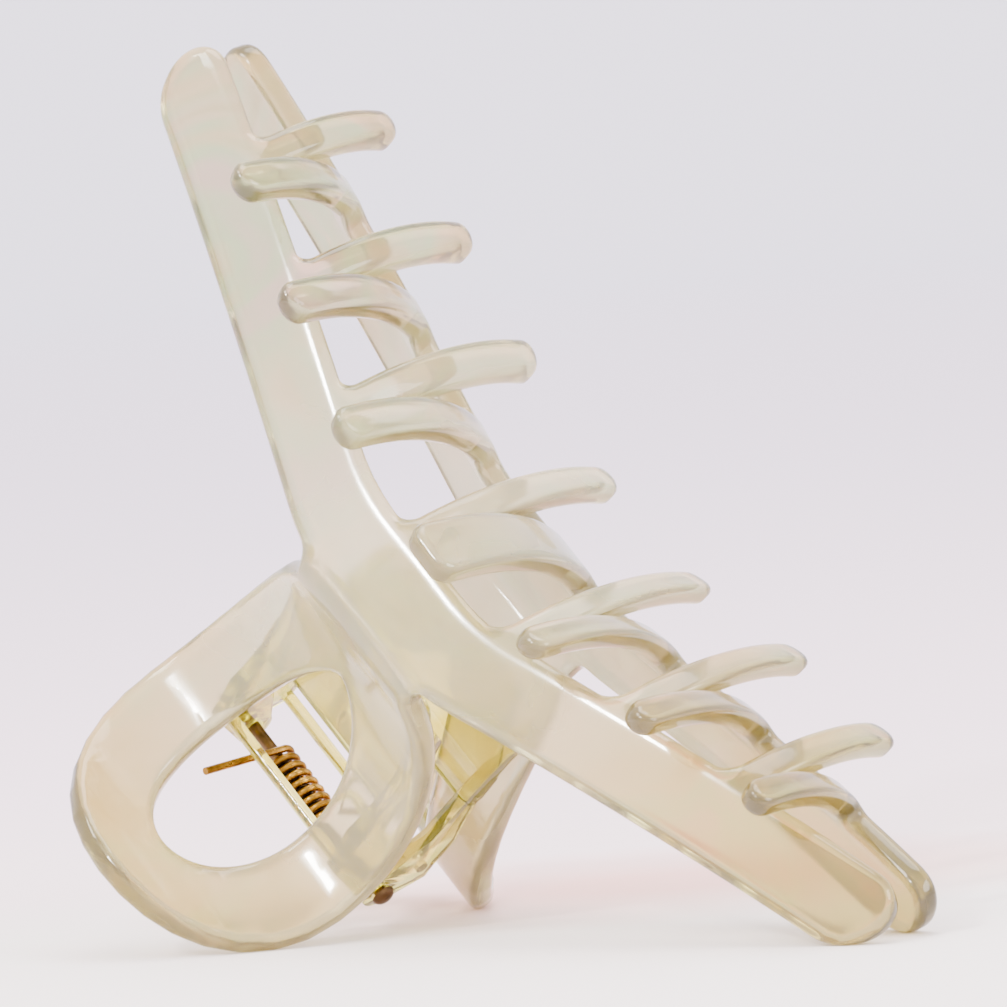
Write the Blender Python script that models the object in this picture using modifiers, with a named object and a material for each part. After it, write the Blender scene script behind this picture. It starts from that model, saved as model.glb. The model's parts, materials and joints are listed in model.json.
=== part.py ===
"""Spring claw clip: two curled jaws with finger loops, joined by two clear hinge leaves, a pin and a
torsion spring. It rests upside down on its loops and on one end of its bars.

Each jaw is a flat outline (x along the clip, s across it) that is curled about lines parallel to x.
The clip's own axes have their origin on the hinge pin: X along the pin, Y towards the front jaw and
Z towards the finger loops. The empty "stance" tilts those axes into the resting pose.
"""

import math

import bmesh
import bpy
import numpy as np
from mathutils import Matrix, Vector

MM = 0.001

# The jaw's profile: from the crease the finger loop leans in towards the pin and flares out again, and the
# bar leans in towards the teeth, which reach across under the other jaw. Lean is measured from the clip's
# Z axis. s is 0 at the crease, negative on the loop and positive on the bar and the teeth.
CREASE_Y = 11.1 * MM
CREASE_Z = -24.1 * MM
CREASE_HALF = 2.0 * MM
LOOP_LEAN = math.radians(-46.5)
LOOP_RADIUS = 16.4 * MM
BAR_LEAN = math.radians(26.1)
BAR_TWIST = math.radians(4.6) / (50 * MM)
TWIST_SOFTENING = 4.0 * MM
ROOT_LEAN = math.radians(56.5)
ROOT_HALF = 1.6 * MM
TIP_LEAN = math.radians(103.4)
JAW_THICKNESS = 2.4 * MM
JAW_EDGE = 0.7 * MM

# The bar: a shallow chevron from the neck to a rounded tip each side, bowed in plan so that the tips meet.
NECK_HALF = 8.35 * MM
NECK_FILLET = 1.0 * MM
NECK_SOFTENING = 4.0 * MM
DROP = 0.356
DROP_EASE = 1.325
CLOSE_IN = 0.139
CLOSE_IN_MORE = 0.55
BAR_TOP_S = 0.2 * MM
BAR_WIDTH = 8.5 * MM
BAR_FLARE = -0.015
BAR_TIP_X = 53.3 * MM
BAR_TIP_BACK = 1.8 * MM
BAR_TIP_ROUND = 3.7 * MM

# Seven teeth, longest in the middle. They sit a little to one side, so that the two jaws interlace.
TOOTH_COUNT = 7
TOOTH_SHIFT = -2.1 * MM
TOOTH_FIRST = 13.3 * MM
TOOTH_PITCH = 11.8 * MM
TOOTH_WIDTH = 3.3 * MM
REAR_MIDDLE_X = -2.85 * MM
REAR_MIDDLE_WIDTH = 5.7 * MM
TOOTH_LENGTH = 23.6 * MM
TOOTH_SPAN = 66.5 * MM
ROOT_FILLET = 1.3 * MM

# The finger loop and its egg-shaped hole.
NECK_S = -1.3 * MM
LOOP_HALF = 14.75 * MM
SHOULDER = 0.7
LOOP_WIDEST_S = -24.0 * MM
LOOP_LENGTH_S = 15.8 * MM
HOLE_HALF = 6.55 * MM
HOLE_S = -22.8 * MM
HOLE_UP = 14.6 * MM
HOLE_DOWN = 10.0 * MM
HOLE_POINTED = 1.5

# The hinge.
GAP = 0.3 * MM
PIN_RADIUS = 0.6 * MM
PIN_HEAD_RADIUS = 1.1 * MM
PIN_HEAD_LENGTH = 0.7 * MM
BARREL_RADIUS = 1.9 * MM
BORE_RADIUS = PIN_RADIUS + GAP
PAD_THICKNESS = 1.2 * MM
PAD_FROM_S = -15.0 * MM
PAD_WIDE_S = -11.5 * MM
PAD_TO_S = -5.0 * MM
PAD_END_HALF = 7.6 * MM
PAD_ROUND = 1.5 * MM
PAD_EDGE = 0.2 * MM
CHEEK_THICKNESS = 1.4 * MM
CHEEK_EDGE = 0.1 * MM
CHEEK_ROUND = 0.4 * MM
CHEEK_FROM_S = -6.0 * MM
CHEEK_TO_S = -19.0 * MM
CHEEK_INNER = ((2.0, -6.5), (2.9, -12.5), (4.6, -18.5))
FRONT_CHEEK_X = 9.1 * MM
REAR_CHEEK_X = FRONT_CHEEK_X + CHEEK_THICKNESS + GAP
REST_BAR_RADIUS = 0.6 * MM
REST_BAR_Y = 4.4 * MM
REST_BAR_Z = -1.85 * MM

# The torsion spring.
WIRE_RADIUS = 0.35 * MM
COIL_RADIUS = 1.3 * MM
COIL_PITCH = 0.95 * MM
COIL_TURNS = 8
COIL_X = -0.9 * MM
LEG_REACH = 9.6 * MM
LEG_RISE = 1.4 * MM

STRIP = 2.6 * MM
ARC_STEP = math.radians(22.5)
PROFILE_STEPS = 80


def clear_scene():
    for obj in list(bpy.data.objects):
        bpy.data.objects.remove(obj, do_unlink=True)


def new_collection(name):
    collection = bpy.data.collections.new(name)
    bpy.context.scene.collection.children.link(collection)
    return collection


def make_material(name, colour, roughness, metallic=0.0):
    material = bpy.data.materials.new(name)
    material.use_nodes = True
    shader = material.node_tree.nodes["Principled BSDF"]
    shader.inputs["Base Color"].default_value = (*colour, 1.0)
    shader.inputs["Roughness"].default_value = roughness
    shader.inputs["Metallic"].default_value = metallic
    return material


# ---------------------------------------------------------------- the jaw's curl


def bar_edge(x):
    """s of the bar's edge on the side of the teeth."""
    return BAR_WIDTH + BAR_FLARE * abs(x)


def tooth_length(x):
    return TOOTH_LENGTH * (1 - (x / TOOTH_SPAN) ** 2)


def lean_at(x, s):
    """Angle between the jaw's surface and the clip's Z axis."""
    loop = LOOP_LEAN - s / LOOP_RADIUS
    bar = BAR_LEAN - BAR_TWIST * (np.hypot(x, TWIST_SOFTENING) - TWIST_SOFTENING)
    along = np.clip((s - bar_edge(x)) / tooth_length(x), 0, 1)
    tooth = ROOT_LEAN + (TIP_LEAN - ROOT_LEAN) * along
    root = np.clip((s - bar_edge(x)) / (2 * ROOT_HALF) + 0.6, 0, 1)
    below = bar + (tooth - bar) * root * root * (3 - 2 * root)
    crease = np.clip((s + CREASE_HALF) / (2 * CREASE_HALF), 0, 1)
    return loop + (below - loop) * crease


def past_neck(x):
    """Distance past the neck's corner, easing in so that the bar isn't creased there."""
    beyond = np.abs(x) - NECK_HALF
    eased = (beyond + NECK_SOFTENING) ** 2 / (4 * NECK_SOFTENING)
    return np.where(beyond > NECK_SOFTENING, beyond, np.where(beyond < -NECK_SOFTENING, 0, eased))


def curled(flat):
    """Moves points (x, s, height above the middle surface) to where the curled jaw has them."""
    x, s, height = flat.T
    parts = (np.arange(PROFILE_STEPS) + 0.5) / PROFILE_STEPS
    lean = lean_at(x[:, None], s[:, None] * parts)
    y = CREASE_Y - s * np.sin(lean).mean(axis=1)
    z = CREASE_Z - s * np.cos(lean).mean(axis=1)
    beyond = past_neck(x) * np.clip((s + CREASE_HALF) / CREASE_HALF, 0, 1)
    y -= CLOSE_IN * beyond + CLOSE_IN_MORE * beyond**2
    z -= DROP * beyond - DROP_EASE * beyond**2
    lean = lean_at(x, s)
    return np.stack([x, y + height * np.cos(lean), z - height * np.sin(lean)], axis=1)


def cuts_across():
    """s of the cuts that let a flat jaw bend."""
    crease = np.linspace(-CREASE_HALF, CREASE_HALF, 6)
    root = np.linspace(BAR_WIDTH - ROOT_HALF, BAR_WIDTH + 1.5 * ROOT_HALF, 5)
    loop = np.arange(-CREASE_HALF - STRIP, LOOP_WIDEST_S - LOOP_LENGTH_S, -STRIP)
    teeth = np.arange(root[-1] + STRIP, BAR_WIDTH + TOOTH_LENGTH, STRIP)
    return [*crease, *root, *loop, *teeth]


def cuts_along():
    """x of the cuts that let the bar bow, one between each two teeth and some beside them."""
    teeth = tooth_positions()
    gaps = [(left + right) / 2 for left, right in zip(teeth, teeth[1:])]
    return gaps + [BAR_TIP_X * 0.85, -BAR_TIP_X * 0.85]


def curl_mesh(mesh):
    """Cuts a flat mesh into strips and curls it."""
    bm = bmesh.new()
    bm.from_mesh(mesh)
    planes = [((0, s, 0), (0, 1, 0)) for s in cuts_across()]
    planes += [((x, 0, 0), (1, 0, 0)) for x in cuts_along()]
    for point, normal in planes:
        everything = bm.verts[:] + bm.edges[:] + bm.faces[:]
        bmesh.ops.bisect_plane(bm, geom=everything, dist=1e-7, plane_co=point, plane_no=normal)
    moved = curled(np.array([vertex.co for vertex in bm.verts], dtype=float))
    for vertex, place in zip(bm.verts, moved):
        vertex.co = place
    bm.to_mesh(mesh)
    bm.free()


# ---------------------------------------------------------------- outlines


def rounded(corners):
    """Turns a list of (x, y, radius) corners into points, with an arc at each corner that has a radius."""
    points = []
    for index, (x, y, radius) in enumerate(corners):
        corner = Vector((x, y))
        if radius == 0:
            points.append(corner)
            continue
        before = (Vector(corners[index - 1][:2]) - corner).normalized()
        after = (Vector(corners[(index + 1) % len(corners)][:2]) - corner).normalized()
        half = before.angle(after) / 2
        centre = corner + (before + after).normalized() * radius / math.sin(half)
        start = corner + before * radius / math.tan(half) - centre
        turn = start.angle_signed(corner + after * radius / math.tan(half) - centre)
        steps = max(2, math.ceil(abs(turn) / ARC_STEP))
        for step in range(steps + 1):
            points.append(centre + Matrix.Rotation(-turn * step / steps, 2) @ start)
    return points


def oval(half, centre, up, down, steps, pointed=1.0):
    """A closed egg shape, half wide, reaching up and down from its centre line."""
    points = []
    for step in range(steps):
        angle = 2 * math.pi * step / steps
        width, height = math.cos(angle), math.sin(angle)
        if height > 0:
            width = math.copysign(abs(width) ** pointed, width)
        reach = up if height > 0 else down
        points.append(Vector((half * width, centre + reach * height)))
    return points


def loop_side():
    """The finger loop's right side, from its far end up to the neck."""
    side = []
    for step in range(1, 9):
        angle = math.radians(-90 + 90 * step / 8)
        side.append((LOOP_HALF * math.cos(angle), LOOP_WIDEST_S + LOOP_LENGTH_S * math.sin(angle)))
    for step in range(1, 8):
        part = step / 8
        x = NECK_HALF + (LOOP_HALF - NECK_HALF) * math.cos(math.pi / 2 * part) ** SHOULDER
        side.append((x, LOOP_WIDEST_S + (NECK_S - LOOP_WIDEST_S) * part))
    side.append((NECK_HALF, NECK_S))
    return side


def tooth_positions():
    """x of each tooth, from right to left."""
    positions = []
    for index in range(TOOTH_COUNT // 2, -TOOTH_COUNT // 2, -1):
        side = (index > 0) - (index < 0)
        reach = TOOTH_FIRST + TOOTH_PITCH * (abs(index) - 1)
        positions.append(TOOTH_SHIFT + side * reach)
    return positions


def tooth_corners(x, width):
    """Corners of one tooth, from its right root round the tip to its left root."""
    right, left = x + width / 2, x - width / 2
    tip = bar_edge(x) + tooth_length(x)
    tip_round = min(width, TOOTH_WIDTH) / 2 * 0.98
    return [
        (right, bar_edge(right), ROOT_FILLET),
        (right, tip, tip_round),
        (left, tip, tip_round),
        (left, bar_edge(left), ROOT_FILLET),
    ]


def jaw_outline(middle_x, middle_width):
    """The jaw's flat outline: finger loop, neck, bar and teeth, of which the middle one can differ."""
    side = [(x, s, 0) for x, s in loop_side()]
    low_x = BAR_TIP_X - BAR_TIP_BACK
    right_tip = [(BAR_TIP_X, BAR_TOP_S, BAR_TIP_ROUND), (low_x, bar_edge(low_x), BAR_TIP_ROUND)]
    corners = [(0, LOOP_WIDEST_S - LOOP_LENGTH_S, 0)]
    corners += side + [(NECK_HALF, BAR_TOP_S, NECK_FILLET)] + right_tip
    for x in tooth_positions():
        if x == TOOTH_SHIFT:
            corners += tooth_corners(middle_x, middle_width)
        else:
            corners += tooth_corners(x, TOOTH_WIDTH)
    corners += [(-x, s, radius) for x, s, radius in reversed(right_tip)]
    corners += [(-NECK_HALF, BAR_TOP_S, NECK_FILLET)]
    corners += [(-x, s, radius) for x, s, radius in reversed(side)]
    return rounded(corners)


# ---------------------------------------------------------------- objects


def add_object(name, mesh, material, collection, parent):
    obj = bpy.data.objects.new(name, mesh)
    mesh.materials.clear()
    mesh.materials.append(material)
    mesh.shade_smooth()
    mesh.set_sharp_from_angle(angle=math.radians(35))
    collection.objects.link(obj)
    obj.parent = parent
    return obj


def mesh_from_curve(curve):
    """The mesh of a curve, with its caps joined to its sides. The curve is removed."""
    obj = bpy.data.objects.new("draft", curve)
    bpy.context.scene.collection.objects.link(obj)
    graph = bpy.context.evaluated_depsgraph_get()
    mesh = bpy.data.meshes.new_from_object(obj.evaluated_get(graph))
    bpy.data.objects.remove(obj)
    bpy.data.curves.remove(curve)
    bm = bmesh.new()
    bm.from_mesh(mesh)
    bmesh.ops.remove_doubles(bm, verts=bm.verts, dist=1e-6)
    bmesh.ops.recalc_face_normals(bm, faces=bm.faces)
    bm.to_mesh(mesh)
    bm.free()
    return mesh


def add_spline(curve, points, closed):
    spline = curve.splines.new("POLY")
    spline.points.add(len(points) - 1)
    for slot, point in zip(spline.points, points):
        slot.co = (*point, 0, 1) if len(point) == 2 else (*point, 1)
    spline.use_cyclic_u = closed


def plate(outlines, thickness, edge):
    """A flat plate between the outlines, centred on its middle plane, with its edges bevelled."""
    curve = bpy.data.curves.new("plate", "CURVE")
    curve.dimensions = "2D"
    curve.fill_mode = "BOTH"
    for outline in outlines:
        add_spline(curve, outline, True)
    curve.extrude = thickness / 2 - edge
    curve.bevel_depth = edge
    curve.bevel_resolution = 0
    curve.offset = -edge
    return mesh_from_curve(curve)


def jaw(name, middle_x, middle_width, material, collection, parent):
    """One jaw, curled from its flat outline."""
    hole = oval(HOLE_HALF, HOLE_S, HOLE_UP, HOLE_DOWN, 28, HOLE_POINTED)
    mesh = plate([jaw_outline(middle_x, middle_width), hole], JAW_THICKNESS, JAW_EDGE)
    curl_mesh(mesh)
    return add_object(name, mesh, material, collection, parent)


def cheek_outline():
    """One hinge cheek seen along the pin, from the pad up to the barrel and the spring's rest bar."""
    barrel = []
    for degrees in range(75, 226, 25):
        angle = math.radians(degrees)
        barrel.append((BARREL_RADIUS * math.cos(angle), BARREL_RADIUS * math.sin(angle), 0))
    rest = REST_BAR_RADIUS + GAP / 2
    sunk = JAW_THICKNESS / 2 + GAP + PAD_THICKNESS / 3
    along_pad = curled(np.array([(0, s, -sunk) for s in np.linspace(CHEEK_FROM_S, CHEEK_TO_S, 8)]))
    corners = [(y, z, 0) for _, y, z in along_pad]
    corners += [
        (REST_BAR_Y + rest, REST_BAR_Z - rest, CHEEK_ROUND),
        (REST_BAR_Y + rest, REST_BAR_Z + rest, CHEEK_ROUND),
    ]
    corners += barrel
    corners += [(y * MM, z * MM, 0) for y, z in CHEEK_INNER]
    return rounded(corners)


def cheek_mesh(x):
    """A hinge cheek with its bore for the pin, centred at x."""
    bore = oval(BORE_RADIUS, 0, BORE_RADIUS, BORE_RADIUS, 16)
    mesh = plate([cheek_outline(), bore], CHEEK_THICKNESS, CHEEK_EDGE)
    along_x = Matrix(((0, 0, 1, x), (1, 0, 0, 0), (0, 1, 0, 0), (0, 0, 0, 1)))
    mesh.transform(along_x)
    return mesh


def rest_bar_mesh(half):
    """The round bar between the cheeks that the spring's leg presses on."""
    bm = bmesh.new()
    bmesh.ops.create_cone(
        bm, cap_ends=True, segments=12, radius1=REST_BAR_RADIUS, radius2=REST_BAR_RADIUS, depth=2 * half
    )
    place = Matrix.Translation((0, REST_BAR_Y, REST_BAR_Z)) @ Matrix.Rotation(math.pi / 2, 4, "Y")
    bmesh.ops.transform(bm, matrix=place, verts=bm.verts)
    mesh = bpy.data.meshes.new("rest_bar")
    bm.to_mesh(mesh)
    bm.free()
    return mesh


def hinge_leaf(name, cheek_x, material, collection, cutters, parent):
    """A clear leaf: a pad inside the root of the finger loop, two cheeks and a rest bar, joined."""
    half = cheek_x + CHEEK_THICKNESS / 2
    right = [(half, PAD_FROM_S, PAD_ROUND), (half, PAD_WIDE_S, 0), (PAD_END_HALF, PAD_TO_S, PAD_ROUND)]
    left = [(-x, s, radius) for x, s, radius in reversed(right)]
    pad = plate([rounded(right + left)], PAD_THICKNESS, PAD_EDGE)
    below = JAW_THICKNESS / 2 + GAP + PAD_THICKNESS / 2
    pad.transform(Matrix.Translation((0, 0, -below)))
    curl_mesh(pad)
    leaf = add_object(name, pad, material, collection, parent)
    pieces = [cheek_mesh(cheek_x), cheek_mesh(-cheek_x), rest_bar_mesh(cheek_x)]
    for index, mesh in enumerate(pieces):
        piece = add_object(f"{name}_piece_{index}", mesh, material, cutters, parent)
        piece.hide_render = True
        piece.display_type = "WIRE"
        union = leaf.modifiers.new(f"join_{index}", "BOOLEAN")
        union.operation = "UNION"
        union.object = piece
    return leaf


def hinge_pin(material, collection, parent):
    """The turned pin with a low head at each end."""
    half = REAR_CHEEK_X + CHEEK_THICKNESS / 2 + GAP + PIN_HEAD_LENGTH
    shoulder = half - PIN_HEAD_LENGTH
    profile = [
        (0, half),
        (PIN_HEAD_RADIUS * 0.7, half),
        (PIN_HEAD_RADIUS, half - PIN_HEAD_LENGTH * 0.4),
        (PIN_HEAD_RADIUS, shoulder),
        (PIN_RADIUS, shoulder),
        (PIN_RADIUS, -shoulder),
        (PIN_HEAD_RADIUS, -shoulder),
        (PIN_HEAD_RADIUS, -half + PIN_HEAD_LENGTH * 0.4),
        (PIN_HEAD_RADIUS * 0.7, -half),
        (0, -half),
    ]
    mesh = bpy.data.meshes.new("hinge_pin")
    edges = [(index, index + 1) for index in range(len(profile) - 1)]
    mesh.from_pydata([(radius, 0, height) for radius, height in profile], edges, [])
    pin = add_object("hinge_pin", mesh, material, collection, parent)
    pin.rotation_euler = (0, math.pi / 2, 0)
    turn = pin.modifiers.new("turn", "SCREW")
    turn.steps = 16
    turn.render_steps = 16
    turn.use_merge_vertices = True
    turn.merge_threshold = 0.00001
    return pin


def torsion_spring(material, collection, parent):
    """The coil round the pin, with one leg on each leaf's rest bar."""
    sides = 12
    length = COIL_TURNS * COIL_PITCH
    coil = []
    for step in range(COIL_TURNS * sides + 1):
        angle = -math.pi / 2 - 2 * math.pi * step / sides
        x = COIL_X - length / 2 + COIL_PITCH * step / sides
        coil.append(Vector((x, COIL_RADIUS * math.cos(angle), COIL_RADIUS * math.sin(angle))))
    leg_z = LEG_RISE - COIL_RADIUS
    front_end = Vector((COIL_X - length / 2, LEG_REACH, leg_z))
    rear_end = Vector((COIL_X + length / 2, -LEG_REACH, leg_z))
    curve = bpy.data.curves.new("spring", "CURVE")
    curve.dimensions = "3D"
    curve.bevel_depth = WIRE_RADIUS
    curve.bevel_resolution = 2
    curve.use_fill_caps = True
    add_spline(curve, [front_end] + coil + [rear_end], False)
    return add_object("torsion_spring", mesh_from_curve(curve), material, collection, parent)


# ---------------------------------------------------------------- the resting pose


def points_in_clip_axes(objects):
    """The vertices of these objects, in the clip's own axes."""
    points = []
    for obj in objects:
        turn = obj.parent.matrix_basis
        points += [turn @ vertex.co for vertex in obj.data.vertices]
    return np.array(points)


def stance_turn(tilt):
    """The clip's axes turned upside down, with its X axis dipped by the tilt."""
    return Matrix.Rotation(tilt, 4, "Y") @ Matrix.Rotation(math.pi, 4, "X")


def resting_matrix(points):
    """Tilts the clip until its loops and its bar tips touch one level plane, at z = 0."""
    loops = points[points[:, 2] > CREASE_Z]
    bars = points[points[:, 2] <= CREASE_Z]
    shallow, steep = math.radians(20), math.radians(70)
    for _ in range(40):
        tilt = (shallow + steep) / 2
        up = np.array([-math.sin(tilt), 0, -math.cos(tilt)])
        if (loops @ up).min() < (bars @ up).min():
            shallow = tilt
        else:
            steep = tilt
    turn = stance_turn(tilt)
    turned = points @ np.array(turn.to_3x3()).T
    low, high = turned.min(axis=0), turned.max(axis=0)
    centre = (low + high) / 2
    return Matrix.Translation((-centre[0], -centre[1], -low[2])) @ turn


def add_empty(name, collection, parent=None):
    empty = bpy.data.objects.new(name, None)
    collection.objects.link(empty)
    empty.parent = parent
    return empty


def main():
    clear_scene()
    parts = new_collection("claw_clip")
    cutters = new_collection("cutters")
    pearl = make_material("pearl_plastic", (0.84, 0.82, 0.72), 0.18)
    clear = make_material("clear_plastic", (0.80, 0.80, 0.52), 0.08)
    bronze = make_material("bronze_wire", (0.62, 0.42, 0.16), 0.30, metallic=1.0)
    dark = make_material("dark_pin", (0.22, 0.13, 0.07), 0.35, metallic=1.0)

    stance = add_empty("stance", parts)
    front = add_empty("front_half", parts, stance)
    rear = add_empty("rear_half", parts, stance)
    rear.rotation_euler = (0, 0, math.pi)

    front_jaw = jaw("front_jaw", TOOTH_SHIFT, TOOTH_WIDTH, pearl, parts, front)
    rear_jaw = jaw("rear_jaw", REAR_MIDDLE_X, REAR_MIDDLE_WIDTH, pearl, parts, rear)
    hinge_leaf("front_hinge_leaf", FRONT_CHEEK_X, clear, parts, cutters, front)
    hinge_leaf("rear_hinge_leaf", REAR_CHEEK_X, clear, parts, cutters, rear)
    hinge_pin(dark, parts, front)
    torsion_spring(bronze, parts, front)

    bpy.context.view_layer.update()
    stance.matrix_world = resting_matrix(points_in_clip_axes([front_jaw, rear_jaw]))


main()
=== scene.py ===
"""Claw clip, visual model: two pearl jaws with finger loops, two clear hinge leaves, a dark pin
and a bronze spring. All are built on the clip's own axes (X along the pin, Y to the front jaw and
Z to the loops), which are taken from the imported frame's hinge joint.
"""

import json
import math

import bmesh
import bpy
import numpy as np
from mathutils import Matrix, Vector


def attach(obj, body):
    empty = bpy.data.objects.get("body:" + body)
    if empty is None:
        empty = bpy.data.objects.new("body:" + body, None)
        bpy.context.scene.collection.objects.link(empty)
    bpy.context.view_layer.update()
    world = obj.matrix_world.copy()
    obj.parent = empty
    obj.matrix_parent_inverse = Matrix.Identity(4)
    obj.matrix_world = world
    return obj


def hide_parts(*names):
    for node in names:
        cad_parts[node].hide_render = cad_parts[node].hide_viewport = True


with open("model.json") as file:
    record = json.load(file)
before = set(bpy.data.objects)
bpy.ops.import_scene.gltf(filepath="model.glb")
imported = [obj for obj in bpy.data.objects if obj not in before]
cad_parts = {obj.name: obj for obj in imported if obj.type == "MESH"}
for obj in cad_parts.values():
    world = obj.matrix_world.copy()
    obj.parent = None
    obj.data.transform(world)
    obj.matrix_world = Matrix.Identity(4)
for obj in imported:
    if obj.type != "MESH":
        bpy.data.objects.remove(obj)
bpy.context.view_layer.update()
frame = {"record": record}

MM = 0.001

# The jaw's profile: from the crease the finger loop leans in towards the pin and flares out again,
# and the bar leans in towards the teeth, which reach across under the other jaw. Lean is measured
# from the clip's Z axis. s is the distance along the profile: 0 at the crease, negative on the loop
# and positive on the bar and the teeth.
CREASE_Y = 11.1 * MM
CREASE_Z = -24.1 * MM
CREASE_HALF = 2.0 * MM
LOOP_LEAN = math.radians(-46.5)
LOOP_RADIUS = 16.4 * MM
BAR_LEAN = math.radians(26.1)
BAR_TWIST = math.radians(4.6) / (50 * MM)
TWIST_SOFTENING = 4.0 * MM
ROOT_LEAN = math.radians(56.5)
ROOT_HALF = 1.6 * MM
ROOT_BEFORE = 0.6  # share of the root's bend that comes before the bar's edge
TIP_LEAN = math.radians(103.4)
JAW_THICKNESS = 2.4 * MM
JAW_EDGE = 0.85 * MM

# The bar: a shallow chevron from the neck to a rounded tip each side. Past the neck it drops away
# from the loops by DROP, easing off by DROP_EASE, and closes in on the other jaw so that the tips
# meet.
NECK_HALF = 8.35 * MM
NECK_FILLET = 1.0 * MM
NECK_SOFTENING = 4.0 * MM
DROP = 0.356
DROP_EASE = 1.325
CLOSE_IN = 0.139
CLOSE_IN_MORE = 0.55
BAR_TOP_S = 0.2 * MM
BAR_WIDTH = 8.5 * MM
BAR_FLARE = -0.015
BAR_TIP_X = 53.3 * MM
BAR_TIP_BACK = 1.8 * MM
BAR_TIP_ROUND = 3.7 * MM

# Seven teeth, longest in the middle, that would shrink to nothing at TOOTH_SPAN. They sit a little
# to one side, so that the two jaws interlace. The rear jaw's middle tooth is wider.
TOOTH_COUNT = 7
TOOTH_SHIFT = -2.1 * MM
TOOTH_FIRST = 13.3 * MM
TOOTH_PITCH = 11.8 * MM
TOOTH_WIDTH = 3.3 * MM
REAR_MIDDLE_X = -2.85 * MM
REAR_MIDDLE_WIDTH = 5.7 * MM
TOOTH_LENGTH = 23.6 * MM
TOOTH_SPAN = 66.5 * MM
ROOT_FILLET = 1.3 * MM
TIP_FULLNESS = 0.98

# The finger loop and its egg-shaped hole, which is narrower at the end towards the neck.
NECK_S = -1.3 * MM
LOOP_HALF = 14.75 * MM
SHOULDER = 0.7
LOOP_WIDEST_S = -24.0 * MM
LOOP_LENGTH_S = 15.8 * MM
HOLE_HALF = 6.55 * MM
HOLE_S = -22.8 * MM
HOLE_UP = 14.6 * MM
HOLE_DOWN = 10.0 * MM
HOLE_POINTED = 1.5

# The hinge.
GAP = 0.3 * MM
PIN_RADIUS = 0.6 * MM
PIN_HEAD_RADIUS = 1.1 * MM
PIN_HEAD_LENGTH = 0.7 * MM
BARREL_RADIUS = 1.9 * MM
BARREL_FROM, BARREL_TO, BARREL_STEP = 70, 230, 8  # degrees round the pin, for a cheek's round end
BORE_RADIUS = PIN_RADIUS + GAP
PAD_THICKNESS = 1.2 * MM
PAD_FROM_S = -15.0 * MM
PAD_WIDE_S = -11.5 * MM
PAD_TO_S = -5.0 * MM
PAD_END_HALF = 7.6 * MM
PAD_ROUND = 1.5 * MM
PAD_EDGE = 0.2 * MM
CHEEK_THICKNESS = 1.4 * MM
CHEEK_EDGE = 0.1 * MM
CHEEK_ROUND = 0.4 * MM
CHEEK_FROM_S = -6.0 * MM
CHEEK_TO_S = -19.0 * MM
CHEEK_INNER = ((2.0 * MM, -6.5 * MM), (2.9 * MM, -12.5 * MM), (4.6 * MM, -18.5 * MM))
FRONT_CHEEK_X = 9.1 * MM
REAR_CHEEK_X = FRONT_CHEEK_X + CHEEK_THICKNESS + GAP
REST_BAR_RADIUS = 0.6 * MM
REST_BAR_Y = 4.4 * MM
REST_BAR_Z = -1.85 * MM

# The torsion spring.
WIRE_RADIUS = 0.35 * MM
COIL_RADIUS = 1.3 * MM
COIL_PITCH = 0.95 * MM
COIL_TURNS = 8
COIL_X = -0.9 * MM
LEG_REACH = 9.6 * MM
LEG_RISE = 1.4 * MM

# How finely the shapes are drawn.
STRIP = 0.9 * MM
CREASE_STRIP = 0.4 * MM
ARC_STEP = math.radians(10)
PROFILE_STEPS = 80
LOOP_STEPS = 8
HOLE_STEPS = 64
BORE_STEPS = 40
CHEEK_STEPS = 16
REST_BAR_SIDES = 32
PIN_SIDES = 40
DOME_STEPS = 6
COIL_SIDES = 36
WIRE_STEPS = 4
EDGE_STEPS = 3
CHEEK_EDGE_STEPS = 1
CUT_TOLERANCE = 1e-7
JOIN_DISTANCE = 1e-6
SHARP_ANGLE = math.radians(40)


# ---------------------------------------------------------------- the jaw's curl


def bar_edge(x):
    """s of the bar's edge on the side of the teeth."""
    return BAR_WIDTH + BAR_FLARE * abs(x)


def tooth_length(x):
    return TOOTH_LENGTH * (1 - (x / TOOTH_SPAN) ** 2)


def lean_at(x, s):
    """Angle between the jaw's surface and the clip's Z axis."""
    loop = LOOP_LEAN - s / LOOP_RADIUS
    bar = BAR_LEAN - BAR_TWIST * (np.hypot(x, TWIST_SOFTENING) - TWIST_SOFTENING)
    along = np.clip((s - bar_edge(x)) / tooth_length(x), 0, 1)
    tooth = ROOT_LEAN + (TIP_LEAN - ROOT_LEAN) * along
    root = np.clip((s - bar_edge(x)) / (2 * ROOT_HALF) + ROOT_BEFORE, 0, 1)
    below = bar + (tooth - bar) * root * root * (3 - 2 * root)
    crease = np.clip((s + CREASE_HALF) / (2 * CREASE_HALF), 0, 1)
    return loop + (below - loop) * crease


def past_neck(x):
    """Distance past the neck's corner, easing in so that the bar isn't creased there."""
    beyond = np.abs(x) - NECK_HALF
    eased = (beyond + NECK_SOFTENING) ** 2 / (4 * NECK_SOFTENING)
    eased = np.where(beyond < -NECK_SOFTENING, 0, eased)
    return np.where(beyond > NECK_SOFTENING, beyond, eased)


def curled(flat):
    """Moves points (x, s, height above the middle surface) to where the curled jaw has them."""
    x, s, height = flat.T
    parts = (np.arange(PROFILE_STEPS) + 0.5) / PROFILE_STEPS
    lean = lean_at(x[:, None], s[:, None] * parts)
    y = CREASE_Y - s * np.sin(lean).mean(axis=1)
    z = CREASE_Z - s * np.cos(lean).mean(axis=1)
    beyond = past_neck(x) * np.clip((s + CREASE_HALF) / CREASE_HALF, 0, 1)
    y -= CLOSE_IN * beyond + CLOSE_IN_MORE * beyond**2
    z -= DROP * beyond - DROP_EASE * beyond**2
    lean = lean_at(x, s)
    return np.stack([x, y + height * np.cos(lean), z - height * np.sin(lean)], axis=1)


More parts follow.
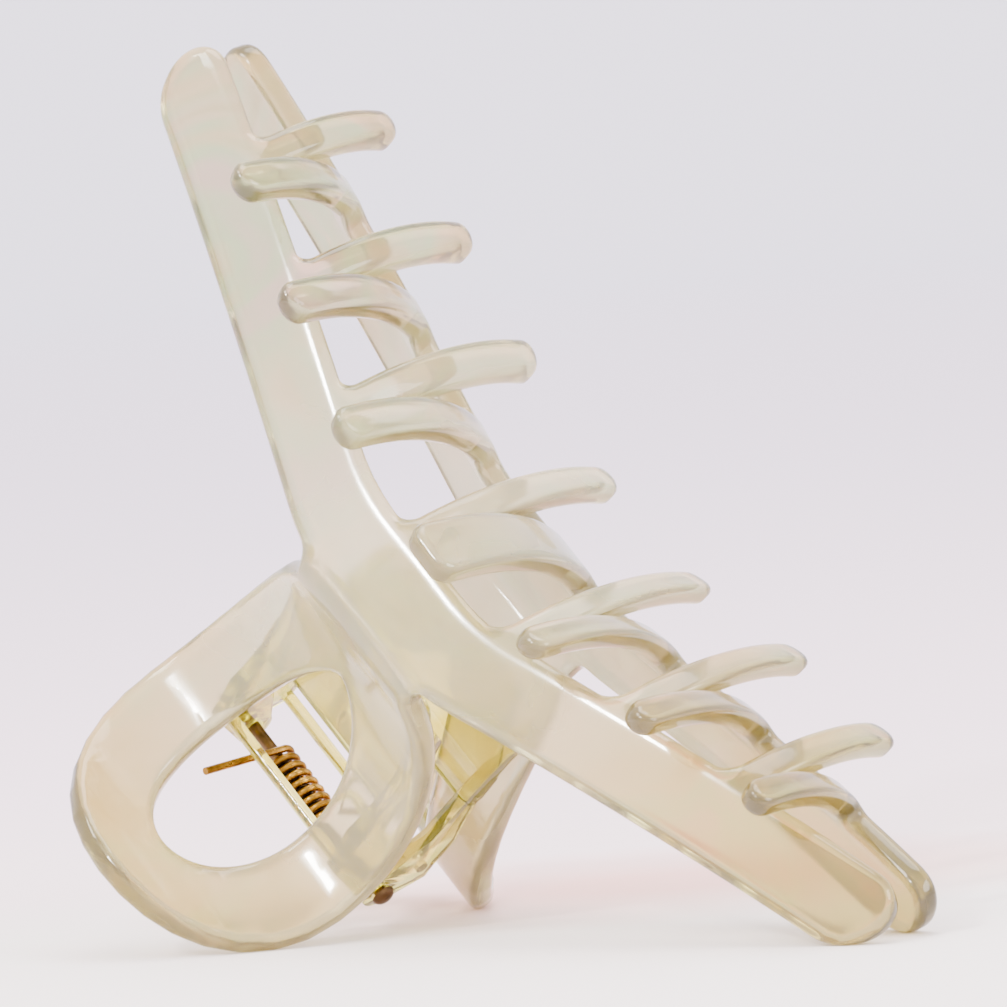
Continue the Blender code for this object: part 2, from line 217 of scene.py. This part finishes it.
def cuts_across():
    """s of the cuts that let a flat jaw bend."""
    crease = np.arange(-CREASE_HALF, CREASE_HALF, CREASE_STRIP)
    loop = np.arange(-CREASE_HALF - STRIP, LOOP_WIDEST_S - LOOP_LENGTH_S, -STRIP)
    below = np.arange(CREASE_HALF, BAR_WIDTH + TOOTH_LENGTH, STRIP)
    return [*crease, *loop, *below]


def cuts_along():
    """x of the cuts that let the bar bow."""
    return np.arange(-BAR_TIP_X + STRIP, BAR_TIP_X, 2 * STRIP)


def curl_mesh(mesh, middle, thickness):
    """Cuts a flat mesh into strips and curls it. "rim" is 0 on its faces and 1 along its edge."""
    bm = bmesh.new()
    bm.from_mesh(mesh)
    rim = bm.verts.layers.float.new("rim")
    planes = [((0, s, 0), (0, 1, 0)) for s in cuts_across()]
    planes += [((x, 0, 0), (1, 0, 0)) for x in cuts_along()]
    for point, normal in planes:
        everything = bm.verts[:] + bm.edges[:] + bm.faces[:]
        bmesh.ops.bisect_plane(
            bm, geom=everything, dist=CUT_TOLERANCE, plane_co=point, plane_no=normal
        )
    moved = curled(np.array([vertex.co for vertex in bm.verts], dtype=float))
    for vertex, place in zip(bm.verts, moved):
        vertex[rim] = 1 - min(1, abs(vertex.co.z - middle) / (thickness / 2))
        vertex.co = place
    bm.to_mesh(mesh)
    bm.free()


# ---------------------------------------------------------------- outlines


def rounded(corners):
    """Turns (x, y, radius) corners into points, with an arc at each corner that has a radius."""
    points = []
    for index, (x, y, radius) in enumerate(corners):
        corner = Vector((x, y))
        if radius == 0:
            points.append(corner)
            continue
        before = (Vector(corners[index - 1][:2]) - corner).normalized()
        after = (Vector(corners[(index + 1) % len(corners)][:2]) - corner).normalized()
        half = before.angle(after) / 2
        centre = corner + (before + after).normalized() * radius / math.sin(half)
        start = corner + before * radius / math.tan(half) - centre
        turn = start.angle_signed(corner + after * radius / math.tan(half) - centre)
        steps = max(2, math.ceil(abs(turn) / ARC_STEP))
        for step in range(steps + 1):
            points.append(centre + Matrix.Rotation(-turn * step / steps, 2) @ start)
    return points


def oval(half, centre, up, down, steps, pointed=1.0):
    """A closed egg shape, half wide, reaching up and down from its centre line."""
    points = []
    for step in range(steps):
        angle = 2 * math.pi * step / steps
        width, height = math.cos(angle), math.sin(angle)
        if height > 0:
            width = math.copysign(abs(width) ** pointed, width)
        reach = up if height > 0 else down
        points.append(Vector((half * width, centre + reach * height)))
    return points


def loop_side():
    """The finger loop's right side, from its far end up to the neck."""
    side = []
    for step in range(1, LOOP_STEPS + 1):
        angle = math.radians(-90 + 90 * step / LOOP_STEPS)
        s = LOOP_WIDEST_S + LOOP_LENGTH_S * math.sin(angle)
        side.append((LOOP_HALF * math.cos(angle), s))
    for step in range(1, LOOP_STEPS):
        part = step / LOOP_STEPS
        x = NECK_HALF + (LOOP_HALF - NECK_HALF) * math.cos(math.pi / 2 * part) ** SHOULDER
        side.append((x, LOOP_WIDEST_S + (NECK_S - LOOP_WIDEST_S) * part))
    side.append((NECK_HALF, NECK_S))
    return side


def tooth_positions():
    """x of each tooth, from right to left."""
    positions = []
    for index in range(TOOTH_COUNT // 2, -TOOTH_COUNT // 2, -1):
        side = (index > 0) - (index < 0)
        reach = TOOTH_FIRST + TOOTH_PITCH * (abs(index) - 1)
        positions.append(TOOTH_SHIFT + side * reach)
    return positions


def tooth_corners(x, width):
    """Corners of one tooth, from its right root round the tip to its left root."""
    right, left = x + width / 2, x - width / 2
    tip = bar_edge(x) + tooth_length(x)
    tip_round = min(width, TOOTH_WIDTH) / 2 * TIP_FULLNESS
    return [
        (right, bar_edge(right), ROOT_FILLET),
        (right, tip, tip_round),
        (left, tip, tip_round),
        (left, bar_edge(left), ROOT_FILLET),
    ]


def jaw_outline(middle_x, middle_width):
    """The jaw's flat outline: finger loop, neck, bar and teeth. The middle tooth can differ."""
    side = [(x, s, 0) for x, s in loop_side()]
    low_x = BAR_TIP_X - BAR_TIP_BACK
    right_tip = [
        (BAR_TIP_X, BAR_TOP_S, BAR_TIP_ROUND),
        (low_x, bar_edge(low_x), BAR_TIP_ROUND),
    ]
    corners = [(0, LOOP_WIDEST_S - LOOP_LENGTH_S, 0)]
    corners += side + [(NECK_HALF, BAR_TOP_S, NECK_FILLET)] + right_tip
    for x in tooth_positions():
        if x == TOOTH_SHIFT:
            corners += tooth_corners(middle_x, middle_width)
        else:
            corners += tooth_corners(x, TOOTH_WIDTH)
    corners += [(-x, s, radius) for x, s, radius in reversed(right_tip)]
    corners += [(-NECK_HALF, BAR_TOP_S, NECK_FILLET)]
    corners += [(-x, s, radius) for x, s, radius in reversed(side)]
    return rounded(corners)


# ---------------------------------------------------------------- meshes


def mesh_from_curve(curve):
    """The mesh of a curve, with its caps joined to its sides. The curve is removed."""
    obj = bpy.data.objects.new("draft", curve)
    bpy.context.scene.collection.objects.link(obj)
    graph = bpy.context.evaluated_depsgraph_get()
    mesh = bpy.data.meshes.new_from_object(obj.evaluated_get(graph))
    bpy.data.objects.remove(obj)
    bpy.data.curves.remove(curve)
    bm = bmesh.new()
    bm.from_mesh(mesh)
    bmesh.ops.remove_doubles(bm, verts=bm.verts, dist=JOIN_DISTANCE)
    bmesh.ops.recalc_face_normals(bm, faces=bm.faces)
    bm.to_mesh(mesh)
    bm.free()
    return mesh


def add_spline(curve, points, closed):
    """Adds straight stretches through flat or solid points to a curve."""
    spline = curve.splines.new("POLY")
    spline.points.add(len(points) - 1)
    for slot, point in zip(spline.points, points):
        slot.co = (*point, 0, 1) if len(point) == 2 else (*point, 1)
    spline.use_cyclic_u = closed


def plate(outlines, thickness, edge, edge_steps=EDGE_STEPS):
    """A flat plate between the outlines, centred on its middle plane, with its edges rounded."""
    curve = bpy.data.curves.new("plate", "CURVE")
    curve.dimensions = "2D"
    curve.fill_mode = "BOTH"
    for outline in outlines:
        add_spline(curve, outline, True)
    curve.extrude = thickness / 2 - edge
    curve.bevel_depth = edge
    curve.bevel_resolution = edge_steps
    curve.offset = -edge
    return mesh_from_curve(curve)


def jaw_mesh(middle_x, middle_width):
    """A jaw, whose middle tooth has the given place and width."""
    outline = jaw_outline(middle_x, middle_width)
    hole = oval(HOLE_HALF, HOLE_S, HOLE_UP, HOLE_DOWN, HOLE_STEPS, HOLE_POINTED)
    mesh = plate([outline, hole], JAW_THICKNESS, JAW_EDGE)
    curl_mesh(mesh, 0, JAW_THICKNESS)
    return mesh


def cheek_outline():
    """One hinge cheek seen along the pin, from the pad up to the barrel and the rest bar."""
    barrel = []
    for degrees in range(BARREL_FROM, BARREL_TO + 1, BARREL_STEP):
        angle = math.radians(degrees)
        barrel.append((BARREL_RADIUS * math.cos(angle), BARREL_RADIUS * math.sin(angle), 0))
    rest = REST_BAR_RADIUS + GAP / 2
    # The cheek starts a third of the way into the pad, so that the two join.
    sunk = JAW_THICKNESS / 2 + GAP + PAD_THICKNESS / 3
    foot = [(0, s, -sunk) for s in np.linspace(CHEEK_FROM_S, CHEEK_TO_S, CHEEK_STEPS)]
    corners = [(y, z, 0) for _, y, z in curled(np.array(foot))]
    corners += [
        (REST_BAR_Y + rest, REST_BAR_Z - rest, CHEEK_ROUND),
        (REST_BAR_Y + rest, REST_BAR_Z + rest, CHEEK_ROUND),
    ]
    corners += barrel
    corners += [(y, z, 0) for y, z in CHEEK_INNER]
    return rounded(corners)


def cheek_mesh(x):
    """A hinge cheek with its bore for the pin, centred at x."""
    bore = oval(BORE_RADIUS, 0, BORE_RADIUS, BORE_RADIUS, BORE_STEPS)
    mesh = plate([cheek_outline(), bore], CHEEK_THICKNESS, CHEEK_EDGE, CHEEK_EDGE_STEPS)
    mesh.transform(Matrix(((0, 0, 1, x), (1, 0, 0, 0), (0, 1, 0, 0), (0, 0, 0, 1))))
    return mesh


def rest_bar_mesh(half):
    """The round bar between the cheeks that the spring's leg rests over."""
    bm = bmesh.new()
    bmesh.ops.create_cone(
        bm,
        cap_ends=True,
        segments=REST_BAR_SIDES,
        radius1=REST_BAR_RADIUS,
        radius2=REST_BAR_RADIUS,
        depth=2 * half,
    )
    turn = Matrix.Rotation(math.pi / 2, 4, "Y")
    place = Matrix.Translation((0, REST_BAR_Y, REST_BAR_Z)) @ turn
    bmesh.ops.transform(bm, matrix=place, verts=bm.verts)
    mesh = bpy.data.meshes.new("rest_bar")
    bm.to_mesh(mesh)
    bm.free()
    return mesh


def joined(meshes):
    """The union of closed meshes."""
    drafts = [bpy.data.objects.new("draft", mesh) for mesh in meshes]
    for draft in drafts:
        bpy.context.scene.collection.objects.link(draft)
    for other in drafts[1:]:
        union = drafts[0].modifiers.new("join", "BOOLEAN")
        union.operation = "UNION"
        union.object = other
    bpy.context.view_layer.update()
    graph = bpy.context.evaluated_depsgraph_get()
    mesh = bpy.data.meshes.new_from_object(drafts[0].evaluated_get(graph))
    for draft in drafts:
        bpy.data.objects.remove(draft)
    return mesh


def leaf_mesh(cheek_x):
    """A clear leaf: a pad inside the root of the finger loop, two cheeks and a rest bar."""
    half = cheek_x + CHEEK_THICKNESS / 2
    right = [
        (half, PAD_FROM_S, PAD_ROUND),
        (half, PAD_WIDE_S, 0),
        (PAD_END_HALF, PAD_TO_S, PAD_ROUND),
    ]
    left = [(-x, s, radius) for x, s, radius in reversed(right)]
    pad = plate([rounded(right + left)], PAD_THICKNESS, PAD_EDGE)
    below = -(JAW_THICKNESS / 2 + GAP + PAD_THICKNESS / 2)
    pad.transform(Matrix.Translation((0, 0, below)))
    curl_mesh(pad, below, PAD_THICKNESS)
    return joined([pad, cheek_mesh(cheek_x), cheek_mesh(-cheek_x), rest_bar_mesh(cheek_x)])


def pin_mesh():
    """The turned pin with a low domed head at each end."""
    half = REAR_CHEEK_X + CHEEK_THICKNESS / 2 + GAP + PIN_HEAD_LENGTH
    shoulder = half - PIN_HEAD_LENGTH
    profile = [(0.0, half)]
    for step in range(1, DOME_STEPS + 1):
        angle = math.pi / 2 * step / DOME_STEPS
        height = shoulder + PIN_HEAD_LENGTH * math.cos(angle)
        profile.append((PIN_HEAD_RADIUS * math.sin(angle), height))
    profile += [(PIN_RADIUS, shoulder)]
    profile += [(radius, -height) for radius, height in reversed(profile)]
    bm = bmesh.new()
    rings = []
    for radius, height in profile:
        ring = []
        for k in range(PIN_SIDES if radius else 1):
            angle = 2 * math.pi * k / PIN_SIDES
            place = (height, radius * math.cos(angle), radius * math.sin(angle))
            ring.append(bm.verts.new(place))
        rings.append(ring)
    for low, high in zip(rings, rings[1:]):
        for k in range(PIN_SIDES):
            after = (k + 1) % PIN_SIDES
            corners = [low[k % len(low)], low[after % len(low)]]
            corners += [high[after % len(high)], high[k % len(high)]]
            # A ring at the pin's end is one point, which would come twice.
            bm.faces.new(list(dict.fromkeys(corners)))
    bmesh.ops.recalc_face_normals(bm, faces=bm.faces)
    mesh = bpy.data.meshes.new("pin")
    bm.to_mesh(mesh)
    bm.free()
    return mesh


def spring_mesh():
    """The coil round the pin, with one leg over each leaf's rest bar."""
    length = COIL_TURNS * COIL_PITCH
    coil = []
    for step in range(COIL_TURNS * COIL_SIDES + 1):
        angle = -math.pi / 2 - 2 * math.pi * step / COIL_SIDES
        x = COIL_X - length / 2 + COIL_PITCH * step / COIL_SIDES
        coil.append(Vector((x, COIL_RADIUS * math.cos(angle), COIL_RADIUS * math.sin(angle))))
    leg_z = LEG_RISE - COIL_RADIUS
    front_end = Vector((COIL_X - length / 2, LEG_REACH, leg_z))
    rear_end = Vector((COIL_X + length / 2, -LEG_REACH, leg_z))
    curve = bpy.data.curves.new("spring", "CURVE")
    curve.dimensions = "3D"
    curve.bevel_depth = WIRE_RADIUS
    curve.bevel_resolution = WIRE_STEPS
    curve.use_fill_caps = True
    add_spline(curve, [front_end] + coil + [rear_end], False)
    return mesh_from_curve(curve)


# ---------------------------------------------------------------- materials


class Nodes:
    """A material under construction: its node tree, its shader and short ways to add nodes."""

    def __init__(self, name):
        self.material = bpy.data.materials.new(name)
        self.material.use_nodes = True
        self.tree = self.material.node_tree
        self.shader = self.tree.nodes["Principled BSDF"]
        self.place = self.tree.nodes.new("ShaderNodeTexCoord").outputs["Object"]

    def link(self, output, target):
        """Joins a node's output to a node's input, or to the shader's input of that name."""
        if isinstance(target, str):
            target = self.shader.inputs[target]
        self.tree.links.new(output, target)

    def set(self, **values):
        for name, value in values.items():
            self.shader.inputs[name.replace("_", " ")].default_value = value

    def noise(self, scale, detail=2.0, distortion=0.0, stretch=None):
        node = self.tree.nodes.new("ShaderNodeTexNoise")
        node.inputs["Scale"].default_value = scale
        node.inputs["Detail"].default_value = detail
        node.inputs["Distortion"].default_value = distortion
        place = self.place
        if stretch:
            mapping = self.tree.nodes.new("ShaderNodeMapping")
            mapping.inputs["Scale"].default_value = stretch
            self.link(place, mapping.inputs["Vector"])
            place = mapping.outputs["Vector"]
        self.link(place, node.inputs["Vector"])
        return node.outputs["Fac"]

    def ramp(self, factor, stops):
        """Colours at positions along 0 to 1."""
        node = self.tree.nodes.new("ShaderNodeValToRGB")
        elements = node.color_ramp.elements
        while len(elements) < len(stops):
            elements.new(0.5)
        for element, (position, colour) in zip(elements, stops):
            element.position = position
            element.color = (*colour, 1)
        self.link(factor, node.inputs["Fac"])
        return node.outputs["Color"]

    def spread(self, factor, low, high, start=0.3, end=0.7):
        """A number that goes from low to high while the factor goes from start to end."""
        node = self.tree.nodes.new("ShaderNodeMapRange")
        ends = {"From Min": start, "From Max": end, "To Min": low, "To Max": high}
        for name, value in ends.items():
            node.inputs[name].default_value = value
        self.link(factor, node.inputs["Value"])
        return node.outputs["Result"]

    def mixed(self, factor, first, colour):
        """The first output, turning into the colour as the factor goes from 0 to 1."""
        node = self.tree.nodes.new("ShaderNodeMix")
        node.data_type = "RGBA"
        self.link(factor, node.inputs["Factor"])
        self.link(first, node.inputs["A"])
        node.inputs["B"].default_value = (*colour, 1)
        return node.outputs["Result"]

    def attribute(self, name):
        node = self.tree.nodes.new("ShaderNodeAttribute")
        node.attribute_name = name
        return node.outputs["Fac"]

    def ball(self, centre, size, turn=0.0):
        """1 at the centre, fading to 0 at the given distances from it."""
        mapping = self.tree.nodes.new("ShaderNodeMapping")
        mapping.vector_type = "TEXTURE"
        mapping.inputs["Location"].default_value = centre
        mapping.inputs["Rotation"].default_value = (0, 0, turn)
        mapping.inputs["Scale"].default_value = size
        gradient = self.tree.nodes.new("ShaderNodeTexGradient")
        gradient.gradient_type = "SPHERICAL"
        self.link(self.place, mapping.inputs["Vector"])
        self.link(mapping.outputs["Vector"], gradient.inputs["Vector"])
        return gradient.outputs["Fac"]

    def bump(self, height, strength, distance):
        node = self.tree.nodes.new("ShaderNodeBump")
        node.inputs["Strength"].default_value = strength
        node.inputs["Distance"].default_value = distance
        self.link(height, node.inputs["Height"])
        self.link(node.outputs["Normal"], "Normal")


# Colours are linear red, green and blue. Noise scales are cells per metre.
ACRYLIC_IOR = 1.49
PEARL_AMBER = (0.57, 0.43, 0.19)
PEARL_CREAM = (0.68, 0.53, 0.28)
PEARL_GREEN = (0.52, 0.60, 0.31)
PEARL_PINK = (0.66, 0.50, 0.35)
PEARL_LOW = (0.50, 0.385, 0.08)
# The next colour is painted light: a paler tone round the necks that stands in for light glowing
# through.
PEARL_PAINTED_GLOW = (0.80, 0.76, 0.54)
PEARL_EDGE = (0.30, 0.23, 0.03)
PEARL_SCATTER = (4.0 * MM, 3.5 * MM, 2.2 * MM)
LOW_REACH = 60 * MM
CLEAR_DEEP = (0.74, 0.66, 0.05)
CLEAR_PALE = (0.90, 0.86, 0.30)
BRONZE_DULL = (0.16, 0.075, 0.01)
BRONZE_PLAIN = (0.36, 0.19, 0.03)
BRONZE_RUBBED = (0.66, 0.40, 0.09)
STEEL_BROWN = (0.05, 0.03, 0.015)
STEEL_DULL = (0.17, 0.10, 0.05)

# The plastic is milkiest round the necks of the two jaws; the paler colour there is painted light.
NECK_PLACE = (-10 * MM, 0, 26 * MM)
NECK_REACH = 36 * MM


def pearl_plastic():
    """Milky, glossy and partly see-through: pale swirls, yellower low down and along its edges."""
    nodes = Nodes("pearl")
    swirl = nodes.noise(scale=70, detail=3, distortion=1.2)
    colour = nodes.ramp(swirl, [
        (0.34, PEARL_AMBER),
        (0.45, PEARL_CREAM),
        (0.54, PEARL_GREEN),
        (0.64, PEARL_PINK),
    ])
    split = nodes.tree.nodes.new("ShaderNodeSeparateXYZ")
    nodes.link(nodes.place, split.inputs["Vector"])
    low_down = nodes.spread(split.outputs["Z"], 0.8, 0, start=0, end=LOW_REACH)
    colour = nodes.mixed(low_down, colour, PEARL_LOW)
    # Painted light: a paler patch round the necks stands in for light glowing through them. The
    # same patch also makes the plastic less clear.
    neck = nodes.ball(NECK_PLACE, (NECK_REACH,) * 3)
    colour = nodes.mixed(nodes.spread(neck, 0, 0.6, start=0, end=0.6), colour, PEARL_PAINTED_GLOW)
    edge = nodes.spread(nodes.attribute("rim"), 0, 0.85, start=0.1, end=0.9)
    colour = nodes.mixed(edge, colour, PEARL_EDGE)
    nodes.link(colour, "Base Color")
    nodes.link(nodes.spread(nodes.noise(scale=160), 0.10, 0.17), "Roughness")
    clarity = nodes.tree.nodes.new("ShaderNodeMath")
    clarity.operation = "MULTIPLY"
    nodes.link(nodes.spread(swirl, 0.86, 0.96), clarity.inputs[0])
    nodes.link(nodes.spread(neck, 1, 0.82, start=0, end=0.7), clarity.inputs[1])
    nodes.link(clarity.outputs["Value"], "Transmission Weight")
    nodes.bump(nodes.noise(scale=260), strength=0.04, distance=0.2 * MM)
    nodes.set(
        IOR=ACRYLIC_IOR,
        Subsurface_Weight=0.5,
        Subsurface_Radius=PEARL_SCATTER,
        Coat_Weight=0.25,
        Coat_Roughness=0.04,
        Coat_IOR=1.5,
    )
    return nodes.material


def clear_plastic():
    """Clear, with a yellow-green tint and faint moulding waves."""
    nodes = Nodes("clear")
    wave = nodes.noise(scale=180, distortion=0.5)
    nodes.link(nodes.ramp(wave, [(0.3, CLEAR_DEEP), (0.7, CLEAR_PALE)]), "Base Color")
    nodes.link(nodes.spread(nodes.noise(scale=400), 0.03, 0.10), "Roughness")
    nodes.bump(wave, strength=0.12, distance=0.2 * MM)
    nodes.set(IOR=ACRYLIC_IOR, Transmission_Weight=0.92, Coat_Weight=0.4, Coat_Roughness=0.03)
    return nodes.material


def bronze_wire():
    """Drawn wire, bronze-coloured, brighter where it is rubbed."""
    nodes = Nodes("bronze")
    patches = nodes.noise(scale=500, detail=3)
    colour = nodes.ramp(patches, [
        (0.30, BRONZE_DULL),
        (0.55, BRONZE_PLAIN),
        (0.75, BRONZE_RUBBED),
    ])
    nodes.link(colour, "Base Color")
    nodes.link(nodes.spread(patches, 0.38, 0.20), "Roughness")
    scratches = nodes.noise(scale=2500, stretch=(1, 0.2, 0.2))
    nodes.bump(scratches, strength=0.15, distance=0.05 * MM)
    nodes.set(Metallic=1.0)
    return nodes.material


def dark_pin():
    """Dark browned steel with small dull patches."""
    nodes = Nodes("dark")
    patches = nodes.noise(scale=600, detail=4)
    nodes.link(nodes.ramp(patches, [(0.3, STEEL_BROWN), (0.7, STEEL_DULL)]), "Base Color")
    nodes.link(nodes.spread(patches, 0.28, 0.48), "Roughness")
    nodes.bump(nodes.noise(scale=2000), strength=0.1, distance=0.05 * MM)
    nodes.set(Metallic=1.0)
    return nodes.material


# ---------------------------------------------------------------- the clip


def clip_axes():
    """The clip's own axes in the world, from the hinge joint."""
    joint = frame["record"]["behaviour"]["joints"][0]
    x = -Vector(joint["axis"]).normalized()
    y = Vector((0, -1, 0))
    turn = Matrix((x, y, x.cross(y))).transposed()
    return Matrix.Translation(joint["pos_m"]) @ turn.to_4x4()


def add_piece(name, mesh, place, body, node, material):
    """Puts a mesh where it belongs, as a piece that rides a body and stands for a CAD node."""
    mesh.transform(place)
    mesh.materials.clear()
    mesh.materials.append(material)
    mesh.shade_smooth()
    mesh.set_sharp_from_angle(angle=SHARP_ANGLE)
    piece = bpy.data.objects.new(name, mesh)
    bpy.context.scene.collection.objects.link(piece)
    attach(piece, body)
    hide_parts(node)


def build_clip(clip):
    """All six pieces. The rear jaw and its leaf are made like the front ones and turned round."""
    turned = clip @ Matrix.Rotation(math.pi, 4, "Z")
    pearl, clear, dark, bronze = pearl_plastic(), clear_plastic(), dark_pin(), bronze_wire()
    jaw = jaw_mesh(TOOTH_SHIFT, TOOTH_WIDTH)
    add_piece("front_jaw_shell", jaw, clip, "front", "front_jaw", pearl)
    jaw = jaw_mesh(REAR_MIDDLE_X, REAR_MIDDLE_WIDTH)
    add_piece("rear_jaw_shell", jaw, turned, "rear", "rear_jaw", pearl)
    leaf = leaf_mesh(FRONT_CHEEK_X)
    add_piece("front_leaf", leaf, clip, "front", "front_hinge_leaf", clear)
    leaf = leaf_mesh(REAR_CHEEK_X)
    add_piece("rear_leaf", leaf, turned, "rear", "rear_hinge_leaf", clear)
    pin = pin_mesh()
    add_piece("pin_turned", pin, clip, "front", "hinge_pin", dark)
    spring = spring_mesh()
    add_piece("spring_wire", spring, clip, "front", "torsion_spring", bronze)


# ---------------------------------------------------------------- camera, stage and light

CAMERA_TURN = math.radians(40.2)
CAMERA_RISE = math.radians(2.9)
CAMERA_ROLL = math.radians(-4.2)
CAMERA_DISTANCE = 0.628
CAMERA_LENS = 260.1
SENSOR_WIDTH = 36
AIM = (-1.5 * MM, -1.2 * MM, 37.4 * MM)

# Turns a place along the camera's right, away from it and up into world directions.
VIEW = Matrix.Rotation(CAMERA_TURN, 3, "Z")

# Disk lights: name, place from the aim point as VIEW has it, width, power and colour.
LIGHTS = (
    ("key", (-0.45, -0.25, 0.55), 0.25, 3.5, (1.0, 0.97, 0.92)),
    ("fill", (0.6, -0.5, 0.35), 0.5, 6.0, (0.99, 0.95, 0.97)),
    ("spark", (-0.30, -0.38, 0.32), 0.05, 2.5, (1.0, 0.98, 0.95)),
    ("top", (0.05, 0.02, 0.6), 0.4, 3.0, (1.0, 0.97, 0.98)),
)
WORLD_COLOUR = (0.97, 0.94, 0.97)
WORLD_STRENGTH = 2.9

# The paper sweep, in metres: flat from in front of the clip to far behind it, then curving up.
SWEEP_BEHIND = 2.6
SWEEP_RADIUS = 0.3
SWEEP_FRONT = 3.0
SWEEP_HALF = 3.0
SWEEP_TOP = 2.5
SWEEP_STEPS = 24
PAPER_LENGTH = 3.2
PAPER_WHITE = (0.98, 0.89, 0.87)
# The next colour is a painted shadow and caustic: the rose band on the floor just behind the clip.
PAPER_PAINTED_SHADOW_ROSE = (0.98, 0.80, 0.83)
PAPER_PINK = (0.96, 0.77, 0.86)
PAPER_LILAC = (0.95, 0.81, 0.95)
PAPER_LAVENDER = (0.93, 0.90, 1.0)

# The warm patch on the floor behind the clip, a painted shadow and caustic, placed and turned as
# VIEW has it.
CAUSTIC_SHADOW_PLACE = (10 * MM, 35 * MM, 0)
CAUSTIC_SHADOW_SIZE = (50 * MM, 35 * MM, 20 * MM)
CAUSTIC_SHADOW_COLOUR = (0.96, 0.28, 0.20)


def add_camera():
    data = bpy.data.cameras.new("camera")
    data.lens = CAMERA_LENS
    data.sensor_width = SENSOR_WIDTH
    camera = bpy.data.objects.new("camera", data)
    turn = VIEW.to_4x4() @ Matrix.Rotation(math.pi / 2 - CAMERA_RISE, 4, "X")
    turn = turn @ Matrix.Rotation(CAMERA_ROLL, 4, "Z")
    back = Matrix.Translation((0, 0, CAMERA_DISTANCE))
    camera.matrix_world = Matrix.Translation(AIM) @ turn @ back
    bpy.context.scene.collection.objects.link(camera)
    bpy.context.scene.camera = camera


def add_light(name, place, width, power, colour):
    data = bpy.data.lights.new(name, "AREA")
    data.shape = "DISK"
    data.size = width
    data.energy = power
    data.color = colour
    light = bpy.data.objects.new(name, data)
    where = Vector(AIM) + VIEW @ Vector(place)
    aim = (Vector(AIM) - where).to_track_quat("-Z", "Y")
    light.matrix_world = Matrix.Translation(where) @ aim.to_matrix().to_4x4()
    bpy.context.scene.collection.objects.link(light)


def sweep_profile():
    """(depth, height, distance along the paper) from the front edge to the top."""
    profile = [(-SWEEP_FRONT, 0.0, -SWEEP_FRONT)]
    for step in range(SWEEP_STEPS + 1):
        angle = math.pi / 2 * step / SWEEP_STEPS
        depth = SWEEP_BEHIND + SWEEP_RADIUS * math.sin(angle)
        height = SWEEP_RADIUS * (1 - math.cos(angle))
        profile.append((depth, height, SWEEP_BEHIND + SWEEP_RADIUS * angle))
    depth, _, along = profile[-1]
    profile.append((depth, SWEEP_TOP, along + SWEEP_TOP - SWEEP_RADIUS))
    return profile


def paper():
    """Matt paper: white in front, pinkish behind the clip, then pale lavender, and a warm patch;
    the rose band and the warm patch by the clip are painted shadow and caustic.
    """
    nodes = Nodes("paper")
    along = nodes.spread(nodes.attribute("along"), 0, 1, start=0, end=PAPER_LENGTH)
    colour = nodes.ramp(along, [
        (0.008, PAPER_WHITE),
        # Painted shadow and caustic: the rose band just behind the clip.
        (0.02, PAPER_PAINTED_SHADOW_ROSE),
        (0.055, PAPER_PINK),
        (0.25, PAPER_LILAC),
        (0.82, PAPER_LAVENDER),
    ])
    # Painted shadow and caustic: a warm patch on the floor behind the clip.
    patch = nodes.ball(VIEW @ Vector(CAUSTIC_SHADOW_PLACE), CAUSTIC_SHADOW_SIZE, CAMERA_TURN)
    caustic_shadow = nodes.spread(patch, 0, 0.5, start=0, end=0.8)
    nodes.link(nodes.mixed(caustic_shadow, colour, CAUSTIC_SHADOW_COLOUR), "Base Color")
    nodes.link(nodes.spread(nodes.noise(scale=300), 0.75, 0.9), "Roughness")
    nodes.bump(nodes.noise(scale=1500), strength=0.03, distance=0.1 * MM)
    return nodes.material


def add_stage():
    """A pale floor that curves up into a backdrop far behind the clip."""
    profile = sweep_profile()
    points, faces = [], []
    for depth, height, _ in profile:
        for side in (-SWEEP_HALF, SWEEP_HALF):
            points.append(VIEW @ Vector((side, depth, 0)) + Vector((0, 0, height)))
    for index in range(len(profile) - 1):
        first = 2 * index
        faces.append((first, first + 1, first + 3, first + 2))
    mesh = bpy.data.meshes.new("sweep")
    mesh.from_pydata(points, [], faces)
    mesh.shade_smooth()
    along = mesh.attributes.new("along", "FLOAT", "POINT")
    along.data.foreach_set("value", [spot for *_, spot in profile for _ in range(2)])
    mesh.materials.append(paper())
    sweep = bpy.data.objects.new("floor_sweep", mesh)
    bpy.context.scene.collection.objects.link(sweep)


def add_world():
    world = bpy.data.worlds.new("world")
    world.use_nodes = True
    background = world.node_tree.nodes["Background"]
    background.inputs["Color"].default_value = (*WORLD_COLOUR, 1)
    background.inputs["Strength"].default_value = WORLD_STRENGTH
    bpy.context.scene.world = world


def main():
    build_clip(clip_axes())
    add_camera()
    add_stage()
    add_world()
    for light in LIGHTS:
        add_light(*light)


main()
